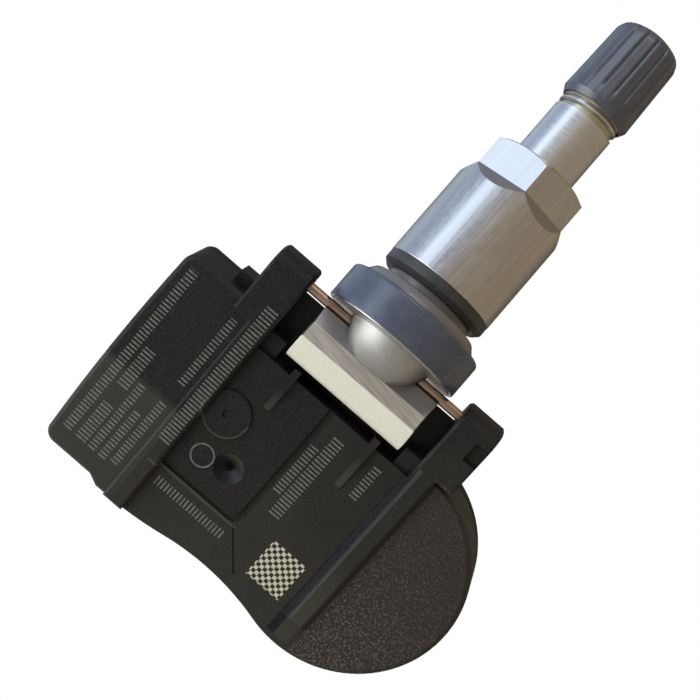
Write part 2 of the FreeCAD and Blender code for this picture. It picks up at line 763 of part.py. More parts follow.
def housing_shell():
    """Moulded shell: ears, cradle, marked face and side walls, open at its back."""
    plate = slab(SEAM, PANEL_FACE)
    ledge = block(-LEDGE_OUT, -EAR_OUT, -BOX_TOP - 1, -LEDGE_TOP, SEAM, LEDGE_FACE)
    body = plate.fuse([box_side(), lobe_side(), spine(), rib(), ledge, floor_wedge()])
    body = body.cut(block(-EAR_IN, EAR_IN, -POCKET_DROP, BOX_TOP, FLOOR, EAR_FACE + 1))
    body = body.cut(hollow(SEAM - 1, CEILING))
    shelves = []
    for near, far in ((-EAR_IN - LAP, -SHELF_IN), (SHELF_IN, EAR_IN + LAP)):
        shelves.append(block(near, far, -POCKET_DROP - LAP, -SHELF_TOP, FLOOR - LAP, SHELF_FACE))
    fins = [fin(FIN_LEFT_X, FIN_END_LEFT), fin(FIN_RIGHT_X, FIN_END_RIGHT)]
    top = PANEL_FACE + BOSS_H
    boss = rod(BOSS_R, CEILING + WALL / 2, top, BOSS_X, -BOSS_DROP)
    boss = boss.cut(block(-BOX_SIDE, -EAR_IN - LAP, -BOX_BOTTOM, 0, CEILING, EAR_FACE))
    gate_mark = rod(BOSS_DIMPLE_R, top - BOSS_DIMPLE_DEPTH, top + 1, BOSS_X, -BOSS_DROP)
    body = body.fuse([ear(-1), ear(1)] + shelves + fins + [boss] + board_posts())
    pin_hole = Part.makeCylinder(PIN_R, 2 * EAR_OUT + 2, V(-EAR_OUT - 1, 0, 0), V(1, 0, 0))
    pocket_x = (RIB_FOOT_R + EAR_OUT - EAR_POCKET_W) / 2
    low = -EAR_POCKET_TOP - EAR_POCKET_H
    ear_pocket = block(
        pocket_x, pocket_x + EAR_POCKET_W, low, -EAR_POCKET_TOP, EAR_FACE - EAR_POCKET_DEPTH, EAR_FACE + 1
    )
    cuts = [ball_room(), panel_groove(), waist_crease(), air_port(), gate_mark, pin_hole, ear_pocket]
    return body.cut(cuts).removeSplitter()


def swing_room():
    """Corner taken off the cover, where the valve's flange comes near as the housing tilts."""
    corner = V(-EAR_OUT, -CRADLE_END, BACK)
    wire = polygon([corner, corner + V(0, -SWING_CUT, 0), corner + V(0, 0, SWING_CUT)])
    return prism(wire, V(2 * EAR_OUT, 0, 0))


def back_cover():
    """Shallow lid welded to the shell's rim."""
    plate = slab(BACK, SEAM)
    return plate.cut([hollow(COVER_INNER, SEAM + 1), ball_room(), swing_room()]).removeSplitter()


def pivot_pin():
    return Part.makeCylinder(PIN_R, PIN_LENGTH, V(-PIN_LENGTH / 2, 0, 0), V(1, 0, 0))


# Electronics

def circuit_board():
    """Board in the box side, cut out round the cell."""
    board = block(-BOARD_LEFT, BOARD_RIGHT, -BOARD_BOTTOM, -BOARD_TOP, BOARD_BACK, BOARD_FACE)
    return board.cut(rod(CELL_R + CELL_ROOM, BOARD_BACK - 1, BOARD_FACE + 1, LOBE_X, -LOBE_DROP))


def sensor_chip():
    half = CHIP_SIDE / 2
    return block(PORT_X - half, PORT_X + half, -PORT_DROP - half, -PORT_DROP + half, BOARD_FACE, CHIP_FACE)


def port_gasket():
    """Soft square pad with a hole, between the shell's ceiling and the chip."""
    half = GASKET_SIDE / 2
    pad = block(PORT_X - half, PORT_X + half, -PORT_DROP - half, -PORT_DROP + half, CHIP_FACE, CEILING)
    return pad.cut(rod(PORT_R, CHIP_FACE - 1, CEILING + 1, PORT_X, -PORT_DROP))


def coin_cell():
    return rod(CELL_R, CELL_BOTTOM, CELL_TOP, LOBE_X, -LOBE_DROP)


def cell_tab(drop, strip_z, foot_z):
    """Bent strip from one face of the cell to one face of the board."""
    low = -drop - TAB_W / 2
    high = -drop + TAB_W / 2
    strip = block(TAB_BEND_X, LOBE_X - CELL_R + TAB_REACH, low, high, strip_z, strip_z + TAB_T)
    riser_low = min(strip_z, foot_z)
    riser_high = max(strip_z, foot_z) + TAB_T
    riser = block(TAB_BEND_X, TAB_BEND_X + TAB_T, low, high, riser_low, riser_high)
    foot = block(TAB_BEND_X - TAB_FOOT, TAB_BEND_X + TAB_T, low, high, foot_z, foot_z + TAB_T)
    return strip.fuse([riser, foot]).removeSplitter()


def cell_tab_top():
    return cell_tab(TAB_TOP_DROP, CELL_TOP, BOARD_FACE)


def cell_tab_bottom():
    return cell_tab(TAB_BOTTOM_DROP, CELL_BOTTOM - TAB_T, BOARD_BACK - TAB_T)


def antenna_strip():
    """Stamped strip that stands on two edges of the board."""
    left = -BOARD_LEFT + ANTENNA_INSET
    low = -BOARD_BOTTOM + ANTENNA_RISE
    top = BOARD_FACE + ANTENNA_H
    down = block(left, left + ANTENNA_T, low, low + ANTENNA_DOWN, BOARD_FACE, top)
    across = block(left, left + ANTENNA_ACROSS, low, low + ANTENNA_T, BOARD_FACE, top)
    return down.fuse(across).removeSplitter()


def coil_core():
    """Ferrite bobbin with a flange at each end."""
    half = COIL_LENGTH / 2
    y = -COIL_DROP
    top = BOARD_FACE + COIL_H
    ends = []
    for side in (-1, 1):
        x = COIL_X + side * (half - COIL_FLANGE / 2)
        flange = block(
            x - COIL_FLANGE / 2, x + COIL_FLANGE / 2, y - COIL_W / 2, y + COIL_W / 2, BOARD_FACE, top
        )
        ends.append(flange)
    middle = block(
        COIL_X - half, COIL_X + half, y - COIL_W / 4, y + COIL_W / 4,
        BOARD_FACE + COIL_H / 4, top - COIL_H / 4,
    )
    return middle.fuse(ends).removeSplitter()


def coil_winding():
    half = COIL_LENGTH / 2 - COIL_FLANGE
    y = -COIL_DROP
    top = BOARD_FACE + COIL_H
    out = COIL_W / 2 - COIL_SHY
    around = block(COIL_X - half, COIL_X + half, y - out, y + out, BOARD_FACE + COIL_SHY, top - COIL_SHY)
    inside = block(
        COIL_X - half, COIL_X + half, y - COIL_W / 4, y + COIL_W / 4,
        BOARD_FACE + COIL_H / 4, top - COIL_H / 4,
    )
    return around.cut(inside)


def crystal():
    length, width, height = CRYSTAL
    x = CRYSTAL_X - length / 2
    y = -BOARD_BOTTOM + ANTENNA_RISE + ANTENNA_T + CRYSTAL_GAP
    return block(x, x + length, y, y + width, BOARD_FACE, BOARD_FACE + height)


def board_capacitors():
    """Two rows of chip capacitors beside the sensor chip."""
    length, width, height = CAPACITOR
    chips = []
    for row in range(2):
        for k in range(4):
            x = PORT_X - CHIP_SIDE / 2 + k * CAPACITOR_PITCH
            y = -PORT_DROP + CHIP_SIDE / 2 + CAPACITOR_PITCH * (row + 0.5)
            chips.append(block(x, x + width, y, y + length, BOARD_FACE, BOARD_FACE + height))
    return Part.makeCompound(chips)


def swivelled(shape):
    """Puts a housing piece on the pin, leaned to its angle at rest."""
    placed = shape.copy()
    turn = FreeCAD.Rotation(V(1, 0, 0), 90 + REST_SWIVEL)
    placed.Placement = FreeCAD.Placement(V(0, 0, PIN_Z), turn)
    return placed


VALVE_PIECES = {
    "valve_stem": valve_stem,
    "rim_grommet": rim_grommet,
    "slip_washer": slip_washer,
    "collar_nut": collar_nut,
    "valve_core_body": valve_core_body,
    "valve_core_seal": valve_core_seal,
    "valve_core_spring": valve_core_spring,
    "valve_core_pin": valve_core_pin,
    "valve_core_cup": valve_core_cup,
    "dust_cap": dust_cap,
    "cap_seal": cap_seal,
}

HOUSING_PIECES = {
    "housing_shell": housing_shell,
    "back_cover": back_cover,
    "pivot_pin": pivot_pin,
    "circuit_board": circuit_board,
    "sensor_chip": sensor_chip,
    "port_gasket": port_gasket,
    "coin_cell": coin_cell,
    "cell_tab_top": cell_tab_top,
    "cell_tab_bottom": cell_tab_bottom,
    "antenna_strip": antenna_strip,
    "coil_core": coil_core,
    "coil_winding": coil_winding,
    "crystal": crystal,
    "board_capacitors": board_capacitors,
}

os.makedirs("parts", exist_ok=True)
for name, make in VALVE_PIECES.items():
    make().exportStep("parts/" + name + ".step")
for name, make in HOUSING_PIECES.items():
    swivelled(make()).exportStep("parts/" + name + ".step")
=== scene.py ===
import bpy
import bmesh
import math
from mathutils import Matrix, Vector


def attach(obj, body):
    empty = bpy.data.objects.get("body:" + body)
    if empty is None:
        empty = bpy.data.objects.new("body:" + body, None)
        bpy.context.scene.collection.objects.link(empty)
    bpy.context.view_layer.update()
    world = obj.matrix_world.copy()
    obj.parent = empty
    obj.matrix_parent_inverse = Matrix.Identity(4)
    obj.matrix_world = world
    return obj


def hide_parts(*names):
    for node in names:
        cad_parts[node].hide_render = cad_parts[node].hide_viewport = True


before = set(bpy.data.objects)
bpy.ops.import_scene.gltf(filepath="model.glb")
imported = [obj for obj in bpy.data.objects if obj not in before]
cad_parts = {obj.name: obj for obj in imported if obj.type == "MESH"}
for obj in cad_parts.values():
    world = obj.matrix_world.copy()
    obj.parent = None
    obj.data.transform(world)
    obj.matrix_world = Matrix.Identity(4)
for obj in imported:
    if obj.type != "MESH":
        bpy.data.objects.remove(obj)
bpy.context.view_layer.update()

# Camera: it looks square on at the marked face from a little below the middle, from 173 mm away, and
# is rolled so that the valve points up to the right, as in the photograph.
mm = 0.001
camera_roll = math.radians(40.95)
camera_tilt = math.radians(5.25)
camera_reach = 172.9 * mm
picture_px = 700
focal_px = 1547.4
sensor_mm = 36
camera_aim = Vector((-3.09, 0, -9.145)) * mm
level_right = Vector((1, 0, 0))
level_up = Vector((0, -math.sin(camera_tilt), math.cos(camera_tilt)))
look = Vector((0, math.cos(camera_tilt), math.sin(camera_tilt)))
right = level_right * math.cos(camera_roll) + level_up * math.sin(camera_roll)
up = level_up * math.cos(camera_roll) - level_right * math.sin(camera_roll)
camera = bpy.data.objects.new("camera", bpy.data.cameras.new("camera"))
camera.data.sensor_width = sensor_mm
camera.data.lens = sensor_mm * focal_px / picture_px
camera.data.clip_start = 0.01
camera.matrix_world = Matrix.LocRotScale(
    camera_aim - look * camera_reach,
    Matrix((right, up, -look)).transposed().to_quaternion(),
    None,
)
bpy.context.scene.collection.objects.link(camera)
bpy.context.scene.camera = camera
bpy.context.scene.view_settings.view_transform = "Standard"


# Valve: one turned and milled piece of bright anodised aluminium. A round ball and a cross bar at the
# foot sit below its flange, and the fine thread for the cap is cut on its tip.
pin_z = -6.70
ball_rise = 1.97
ball_z = pin_z + ball_rise
ball_r = 5.60
foot_r = 8.30
foot_half = 1.95
flange_z = pin_z + 0.78
flange_top = flange_z + 1.10
flange_r = 8.45
nut_thread_r = 4.25
nut_thread_top = 13.6
shank_r = 3.85
tip_z = 38.2
thread_pitch = 0.794
thread_start = 27.70
core_r = 2.60
core_seat_z = 30.2
chamber_r = 2.10
chamber_z = 22.0


class Shade:
    """A value in a material, so that sums and products of values read as plain arithmetic."""

    def __init__(self, finish, socket):
        self.finish = finish
        self.socket = socket

    def maths(self, operation, first, second=0.0):
        return self.finish.node("ShaderNodeMath", {"operation": operation}, {0: first, 1: second})

    def __add__(self, other):
        return self.maths("ADD", self, other)

    def __radd__(self, other):
        return self.maths("ADD", other, self)

    def __sub__(self, other):
        return self.maths("SUBTRACT", self, other)

    def __rsub__(self, other):
        return self.maths("SUBTRACT", other, self)

    def __mul__(self, other):
        return self.maths("MULTIPLY", self, other)

    def __rmul__(self, other):
        return self.maths("MULTIPLY", other, self)

    def __truediv__(self, other):
        return self.maths("DIVIDE", self, other)

    def __gt__(self, other):
        return self.maths("GREATER_THAN", self, other)

    def __lt__(self, other):
        return self.maths("LESS_THAN", self, other)

    def __abs__(self):
        return self.maths("ABSOLUTE", self)

    def __pow__(self, other):
        return self.maths("POWER", self, other)


class Finish:
    """A material under construction: its nodes, its places on the piece and its one shader."""

    def __init__(self, name):
        self.material = bpy.data.materials.new(name)
        self.material.use_nodes = True
        self.tree = self.material.node_tree
        self.shader = self.tree.nodes["Principled BSDF"]

    def node(self, kind, settings=None, inputs=None, output=0):
        made = self.tree.nodes.new(kind)
        for key, value in (settings or {}).items():
            if key == "stops":
                ramp = made.color_ramp
                while len(ramp.elements) < len(value):
                    ramp.elements.new(0.5)
                for element, (place, colour) in zip(ramp.elements, value):
                    element.position = place
                    element.color = (*colour, 1)
            else:
                setattr(made, key, value)
        for key, value in (inputs or {}).items():
            self.join(value, made.inputs[key])
        return Shade(self, made.outputs[output])

    def join(self, value, socket):
        if isinstance(value, Shade):
            self.tree.links.new(value.socket, socket)
        elif hasattr(value, "__len__") and len(value) == 3 and socket.type == "RGBA":
            socket.default_value = (*value, 1)
        else:
            socket.default_value = value

    def place(self, stretch=(1, 1, 1), turn=(0, 0, 0), move=(0, 0, 0)):
        """Object coordinates in mm, then turned, moved and stretched."""
        here = self.node("ShaderNodeTexCoord", output=3)
        turned = self.node(
            "ShaderNodeMapping", {"vector_type": "POINT"},
            {0: here, 1: tuple(m * mm for m in move), 2: tuple(math.radians(t) for t in turn)},
        )
        scale = tuple(1000 * s for s in stretch)
        return self.node("ShaderNodeVectorMath", {"operation": "MULTIPLY"}, {0: turned, 1: scale})

    def axes(self, place):
        """The three numbers of a place."""
        parts = self.tree.nodes.new("ShaderNodeSeparateXYZ")
        self.tree.links.new(place.socket, parts.inputs[0])
        return [Shade(self, parts.outputs[k]) for k in range(3)]

    def noise(self, place, scale, detail=2.0, rough=0.5):
        sockets = {"Vector": place, "Scale": scale, "Detail": detail, "Roughness": rough}
        return self.node("ShaderNodeTexNoise", None, sockets)

    def ramp(self, value, *stops):
        """Numbers or colours along a value."""
        colours = [(place, tone if hasattr(tone, "__len__") else (tone,) * 3) for place, tone in stops]
        return self.node("ShaderNodeValToRGB", {"stops": colours}, {0: value})

    def mix(self, share, first, second):
        sockets = {0: share, 6: first, 7: second}
        return self.node("ShaderNodeMix", {"data_type": "RGBA"}, sockets, output=2)

    def bump(self, height, distance, strength=1.0):
        sockets = {"Height": height, "Distance": distance * mm, "Strength": strength}
        return self.node("ShaderNodeBump", None, sockets)

    def set(self, **sockets):
        for key, value in sockets.items():
            self.join(value, self.shader.inputs[key.replace("_", " ").title().replace("Ior", "IOR")])
        return self.material


def turn_profile(outline, steps=160):
    """A bmesh turned about the valve axis from (radius, height) corners in mm, with its seam closed."""
    bm = bmesh.new()
    corners = [bm.verts.new((r, 0, z)) for r, z in outline]
    for a, b in zip(corners, corners[1:]):
        bm.edges.new((a, b))
    bmesh.ops.spin(
        bm, geom=bm.verts[:] + bm.edges[:], cent=(0, 0, 0), axis=(0, 0, 1), dvec=(0, 0, 0),
        angle=2 * math.pi, steps=steps, use_merge=True, use_duplicate=False,
    )
    bmesh.ops.remove_doubles(bm, verts=bm.verts, dist=1e-5)
    bmesh.ops.recalc_face_normals(bm, faces=bm.faces)
    return bm


def round_corners(outline, rounds, steps=5):
    """(radius, height) corners, with a corner rounded where rounds gives its number a radius."""
    smooth = []
    for k, (r, z) in enumerate(outline):
        size = rounds.get(k, 0)
        if not size:
            smooth.append((r, z))
            continue
        here = Vector((r, z))
        back = Vector(outline[k - 1]) - here
        ahead = Vector(outline[k + 1]) - here
        half = back.angle(ahead) / 2
        leg = size / math.tan(half)
        start = here + back.normalized() * leg
        end = here + ahead.normalized() * leg
        centre = here + (back.normalized() + ahead.normalized()).normalized() * (size / math.sin(half))
        for step in range(steps + 1):
            spoke = (start - centre).lerp(end - centre, step / steps).normalized() * size
            smooth.append(tuple(centre + spoke))
    return smooth


def cut_flat(bm, point, normal):
    """Mills off what lies beyond a plane and closes the cut with one face."""
    geom = bm.verts[:] + bm.edges[:] + bm.faces[:]
    cut = bmesh.ops.bisect_plane(
        bm, geom=geom, dist=1e-6, plane_co=point, plane_no=normal, clear_outer=True, clear_inner=False,
    )
    rim = [e for e in cut["geom_cut"] if isinstance(e, bmesh.types.BMEdge)]
    bmesh.ops.contextual_create(bm, geom=rim)


def to_piece(bm, name, body, material, slot, *nodes):
    """Turns a bmesh drawn in mm into a finished piece that rides on a body in place of CAD nodes."""
    bmesh.ops.scale(bm, vec=(mm, mm, mm), verts=bm.verts)
    mesh = bpy.data.meshes.new(name)
    bm.to_mesh(mesh)
    bm.free()
    piece = bpy.data.objects.new(name, mesh)
    bpy.context.scene.collection.objects.link(piece)
    mesh.materials.append(material)
    for face in mesh.polygons:
        face.use_smooth = True
    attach(piece, body)
    if nodes:
        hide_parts(*nodes)
    return piece


def soften(piece, width, angle=30, segments=3):
    """Rounds a piece's sharp edges and keeps its faces flat between them."""
    bevel = piece.modifiers.new("edges", "BEVEL")
    bevel.width = width * mm
    bevel.segments = segments
    bevel.limit_method = "ANGLE"
    bevel.angle_limit = math.radians(angle)
    bevel.use_clamp_overlap = True
    bevel.harden_normals = True
    piece.modifiers.new("normals", "WEIGHTED_NORMAL").keep_sharp = True


def sharp_smooth(piece, angle=35):
    """Smooth shading that stops at real corners."""
    bm = bmesh.new()
    bm.from_mesh(piece.data)
    for edge in bm.edges:
        edge.smooth = not (edge.is_manifold and edge.calc_face_angle(0) > math.radians(angle))
    bm.to_mesh(piece.data)
    bm.free()


def join_meshes(first, *others):
    """Puts several bmeshes into the first one."""
    for other in others:
        carrier = bpy.data.meshes.new("carrier")
        other.to_mesh(carrier)
        other.free()
        first.from_mesh(carrier)
        bpy.data.meshes.remove(carrier)
    return first


def brushed_metal(name, tint, roughness, stretch, grain=1.0, depth=0.66, shaded=None):
    """Metal with fine tool lines, duller patches and, where shaded gives a mask, a darker place."""
    metal = Finish(name)
    fine = metal.noise(metal.place(stretch), 1.0, 2, 0.5)
    broad = metal.noise(metal.place(tuple(s * 0.25 for s in stretch), move=(3, 1, 2)), 1.0, 2, 0.5)
    spots = metal.noise(metal.place(move=(9, 4, 0)), 1.2, 3, 0.6)
    tone = fine * 0.5 + broad * 0.3 + spots * 0.2
    dark = tuple(depth * c for c in tint)
    base = metal.ramp(tone, (0.36, dark), (0.62, tint))
    if shaded:
        base = metal.mix(shaded(metal), base, tuple(0.55 * c for c in tint))
    metal.set(
        metallic=1.0,
        base_color=base,
        roughness=metal.ramp(fine * 0.6 + spots * 0.4, (0.3, roughness - 0.06), (0.7, roughness + 0.10)),
        normal=metal.bump(fine, 0.006 * grain),
    )
    return metal.material


valve_satin = Finish("valve_satin")
spot = valve_satin.place()
turning = valve_satin.noise(valve_satin.place((0.5, 0.5, 9)), 1.0, 2, 0.5)
side, depth, height = valve_satin.axes(spot)
radius = (side * side + depth * depth) ** 0.5
thread_root = (height > thread_start) * (radius > core_r + 0.3) * valve_satin.ramp(
    radius * 0.2, (0.716, 1.0), (0.762, 0.0))
satin = valve_satin.ramp(turning, (0.36, (0.54, 0.53, 0.515)), (0.62, (0.60, 0.59, 0.58)))
valve_satin.set(
    metallic=1.0,
    base_color=valve_satin.mix(thread_root, satin, (0.47, 0.44, 0.33)),
    roughness=valve_satin.ramp(turning, (0.3, 0.27), (0.7, 0.40)),
    normal=valve_satin.bump(turning, 0.0006),
)

stem_outline = [
    (0.001, flange_z), (flange_r, flange_z), (flange_r, flange_top), (nut_thread_r, flange_top),
    (nut_thread_r, nut_thread_top), (shank_r, nut_thread_top + 0.3), (shank_r, thread_start),
    (shank_r - 0.40, thread_start + 0.15), (shank_r - 0.40, tip_z - 0.15), (shank_r - 0.55, tip_z),
    (core_r + 0.25, tip_z), (core_r, tip_z - 0.25), (core_r, core_seat_z), (chamber_r, core_seat_z),
    (chamber_r, chamber_z), (0.001, chamber_z),
]
stem = turn_profile(round_corners(stem_outline, {1: 0.12, 2: 0.18}))

# fine thread for the cap: one ridge wound round the tip
ridge = bmesh.new()
low = thread_start + 0.05
root = shank_r - 0.42
corners = [(root, low), (shank_r, low + 0.27), (shank_r, low + 0.45), (root, low + 0.72)]
loop = [ridge.verts.new((r, 0, z)) for r, z in corners]
ridge.faces.new(loop)
turns = int((tip_z - 0.2 - low - 0.7) / thread_pitch)
bmesh.ops.spin(
    ridge, geom=ridge.faces[:] + ridge.edges[:] + ridge.verts[:], cent=(0, 0, 0), axis=(0, 0, 1),
    dvec=(0, 0, thread_pitch / 72), angle=2 * math.pi * turns, steps=72 * turns,
    use_merge=False, use_duplicate=False,
)
bmesh.ops.recalc_face_normals(ridge, faces=ridge.faces)
join_meshes(stem, ridge)
stem_piece = to_piece(stem, "valve_turned_stem", "valve", valve_satin.material, "valve_metal", "valve_stem")
sharp_smooth(stem_piece)

# ball, milled flat below, with its cross hole
ball = bmesh.new()
bmesh.ops.create_uvsphere(ball, u_segments=128, v_segments=64, radius=ball_r)
bmesh.ops.translate(ball, vec=(0, 0, ball_z), verts=ball.verts)
cut_flat(ball, (0, 0, flange_z + 0.3), (0, 0, 1))
cut_flat(ball, (0, 0, pin_z - 2.9), (0, 0, -1))
ball_satin = Finish("ball_satin")
lines = ball_satin.noise(ball_satin.place((0.6, 0.6, 6)), 1.0, 2, 0.5)
side, depth, height = ball_satin.axes(ball_satin.place())
height = height - pin_z
from_pin = (depth * depth + height * height) ** 0.5
# painted shadow darkens the ball round the pin where it enters the ball
pin_shadow = ball_satin.ramp(from_pin * 0.3 + lines * 0.1, (0.42, 1.0), (0.88, 0.0)) * (abs(side) > 3.2)
bright = ball_satin.ramp(lines, (0.36, (0.45, 0.445, 0.41)), (0.62, (0.50, 0.495, 0.455)))
ball_satin.set(
    metallic=1 - pin_shadow * 0.8,
    base_color=ball_satin.mix(pin_shadow, bright, (0.028, 0.027, 0.018)),
    roughness=ball_satin.ramp(lines, (0.3, 0.46), (0.7, 0.53)),
    normal=ball_satin.bump(lines, 0.0010),
)
ball_piece = to_piece(ball, "valve_ball", "valve", ball_satin.material, "valve_metal")


def bore_hole(piece, radius, start, end, sink=0.0):
    """Bores a round hole between two points in mm, with a countersink of some width at both ends."""
    axis = Vector(end) - Vector(start)
    length = axis.length
    bm = turn_profile([(0.0005, 0), (radius + sink, 0), (radius + sink, 0.01), (radius, sink + 0.01),
                       (radius, length - sink - 0.01), (radius + sink, length - 0.01),
                       (radius + sink, length), (0.0005, length)], steps=48)
    turn = Vector((0, 0, 1)).rotation_difference(axis).to_matrix()
    bmesh.ops.rotate(bm, cent=(0, 0, 0), matrix=turn, verts=bm.verts)
    bmesh.ops.translate(bm, vec=start, verts=bm.verts)
    bmesh.ops.scale(bm, vec=(mm, mm, mm), verts=bm.verts)
    mesh = bpy.data.meshes.new("drill")
    bm.to_mesh(mesh)
    bm.free()
    drill = bpy.data.objects.new("drill", mesh)
    bpy.context.scene.collection.objects.link(drill)
    cut = piece.modifiers.new("bore", "BOOLEAN")
    cut.operation = "DIFFERENCE"
    cut.solver = "EXACT"
    cut.object = drill
    bpy.context.view_layer.update()
    bored = bpy.data.meshes.new_from_object(piece.evaluated_get(bpy.context.evaluated_depsgraph_get()))
    piece.modifiers.remove(cut)
    old = piece.data
    piece.data = bored
    bored.name = old.name
    bpy.data.meshes.remove(old)
    bpy.data.objects.remove(drill)
    bpy.data.meshes.remove(mesh)


pin_mouth = math.sqrt(ball_r ** 2 - ball_rise ** 2)
bore_hole(ball_piece, 0.65, (-pin_mouth - 0.02, 0, pin_z), (pin_mouth + 0.02, 0, pin_z), 0.30)
bore_hole(ball_piece, 1.0, (0, 1, pin_z - 1.4), (0, 6, pin_z - 1.4))
sharp_smooth(ball_piece)

# foot bar: a round blank milled to two flats, slopes above them and the long slope below
bar = bmesh.new()
bmesh.ops.create_cone(bar, cap_ends=True, segments=256, radius1=foot_r, radius2=foot_r, depth=20)
bmesh.ops.translate(bar, vec=(0, 0, pin_z), verts=bar.verts)
# as depths below the pin and places in front of it
foot_top = 0.64
foot_top_half = 0.85
flats_start = 2.90
long_slope_start = 4.75
foot_section = [
    (foot_top, foot_top_half), (flats_start, foot_half), (long_slope_start, foot_half), (7.00, -0.13),
    (7.22, -0.42), (7.35, -0.80), (7.35, -1.10), (6.40, -foot_half), (flats_start, -foot_half),
    (foot_top, -foot_top_half),
]
for (down, out), (next_down, next_out) in zip(foot_section, foot_section[1:] + foot_section[:1]):
    here = Vector((0, -out, pin_z - down))
    along = Vector((0, -next_out, pin_z - next_down)) - here
    outward = Vector((0, -along.z, along.y)).normalized()
    middle = Vector((0, 0, pin_z - 4))
    if (middle - here).dot(outward) > 0:
        outward = -outward
    cut_flat(bar, here, outward)
foot_milled = Finish("foot_milled")
bar_place = foot_milled.place()
height = foot_milled.axes(bar_place)[2]
cutter = foot_milled.noise(foot_milled.place((0.16, 1, 6), turn=(0, -9, 0)), 1.0, 2, 0.5)
pits = foot_milled.noise(bar_place, 3.0, 4, 0.65)
# the long low slope is frosted, and its near-white cream colour is a painted highlight
blasted_lit_face = height < pin_z - 4.80
shaded = height > pin_z - 2.85
milled = foot_milled.ramp(cutter, (0.38, (0.52, 0.50, 0.48)), (0.60, (0.70, 0.69, 0.66)))
milled = foot_milled.mix(shaded, milled, (0.33, 0.32, 0.31))
frost_highlight = foot_milled.ramp(pits, (0.30, (0.90, 0.88, 0.70)), (0.62, (0.98, 0.96, 0.82)))
foot_milled.set(
    metallic=1 - blasted_lit_face * 0.75,
    base_color=foot_milled.mix(blasted_lit_face, milled, frost_highlight),
    roughness=foot_milled.ramp(cutter, (0.3, 0.30), (0.7, 0.46)) + blasted_lit_face * 0.22,
    normal=foot_milled.bump(cutter * (1 - blasted_lit_face) + pits * blasted_lit_face, 0.016),
)
foot_metal = foot_milled.material
bar_piece = to_piece(bar, "valve_foot_bar", "valve", foot_metal, "valve_metal")
soften(bar_piece, 0.16, 20)

# Seal: grey rubber moulded round the flange, with a lip that lies on the rim and a neck in its hole.
# It is turned in shape, smooth and satin.
grommet_r = 8.95
grommet_low = flange_z + 0.15
seal_outline = [
    (flange_r, grommet_low), (grommet_r, grommet_low), (grommet_r, -1.30), (7.75, -1.30), (7.60, -0.75),
    (7.0, 0), (5.95, 0), (5.65, 0.25), (5.65, 0.99), (nut_thread_r + 0.05, 0.99),
]
seal_grey = Finish("seal_grey")
mottle = seal_grey.noise(seal_grey.place(), 0.7, 4, 0.6)
pores = seal_grey.noise(seal_grey.place(), 6, 2, 0.5)
# the lip and neck are painted paler, a painted warm light
painted_light = seal_grey.ramp(seal_grey.axes(seal_grey.place())[2] + 2.0, (0.55, 0.0), (0.95, 1.0))
rubber = seal_grey.ramp(mottle, (0.3, (0.048, 0.060, 0.094)), (0.7, (0.076, 0.086, 0.116)))
seal_grey.set(
    base_color=seal_grey.mix(painted_light, rubber, (0.155, 0.145, 0.140)),
    roughness=seal_grey.ramp(mottle, (0.3, 0.22), (0.7, 0.31)),
    specular_ior_level=0.70,
    normal=seal_grey.bump(pores, 0.01),
)
seal = turn_profile(round_corners(seal_outline, {1: 0.12, 2: 0.40, 3: 0.10, 5: 0.35, 6: 0.12, 8: 0.08}))
seal_piece = to_piece(seal, "rubber_seal", "valve", seal_grey.material, "seal_rubber", "rim_grommet")
sharp_smooth(seal_piece, 50)

# Slip washer: a hard black plastic ring, bevelled below, that lets the nut turn on the rim.
washer_outline = [
    (nut_thread_r + 0.10, 1.0), (6.40, 1.0), (6.95, 1.55), (6.95, 2.6), (nut_thread_r + 0.10, 2.6),
]
washer_black = Finish("washer_black")
wear = washer_black.noise(washer_black.place(), 2.0, 3, 0.5)
washer_black.set(
    base_color=washer_black.ramp(wear, (0.3, (0.026, 0.024, 0.023)), (0.7, (0.040, 0.037, 0.035))),
    roughness=washer_black.ramp(wear, (0.3, 0.38), (0.7, 0.5)),
    normal=washer_black.bump(wear, 0.01),
)
washer = turn_profile(round_corners(washer_outline + washer_outline[:1], {1: 0.15, 2: 0.15, 3: 0.08}))
washer_piece = to_piece(
    washer, "slip_ring", "washer", washer_black.material, "washer_plastic", "slip_washer",
)
sharp_smooth(washer_piece, 50)

# Collar nut: a turned aluminium sleeve with a rounded shoulder and a hexagon above it, drawn lines
# running along it.
nut_z = 2.6
nut_r = 7.0
nut_top = 20.2
hex_z = 15.85
nut_bore = nut_thread_r + 0.05
hex_half = 6.0
collar_top = 14.4
run_out = (hex_z - collar_top) / (nut_r - hex_half)


def on_run_out(metal):
    """1 on the slopes where the nut's flats run out into its collar, 0 elsewhere."""
    x, y, z = metal.axes(metal.place())
    out = abs(x)
    for y_share in (0.866, -0.866):
        out = out.maths("MAXIMUM", out, abs(x * 0.5 + y * y_share))
    slope = hex_half + (hex_z - z) / run_out
    return (abs(out - slope) < 0.04) * (abs(z - (hex_z + collar_top) / 2) < 0.74)


nut_brushed = brushed_metal("nut_brushed", (0.57, 0.55, 0.535), 0.30, (7, 7, 0.12), 0.4, 0.78, on_run_out)
land = hex_half - 0.25
top_edge = nut_top - math.tan(math.radians(30)) * (nut_r - land)
nut_outline = [
    (nut_bore, nut_z), (nut_r, nut_z), (nut_r, top_edge), (land, nut_top), (nut_bore + 0.3, nut_top),
    (nut_bore, nut_top - 0.3), (nut_bore, nut_z),
]
nut = turn_profile(round_corners(nut_outline, {1: 0.18, 3: 0.12}), 192)
nut_piece = to_piece(nut, "nut_sleeve", "nut", nut_brushed, "valve_metal", "collar_nut")


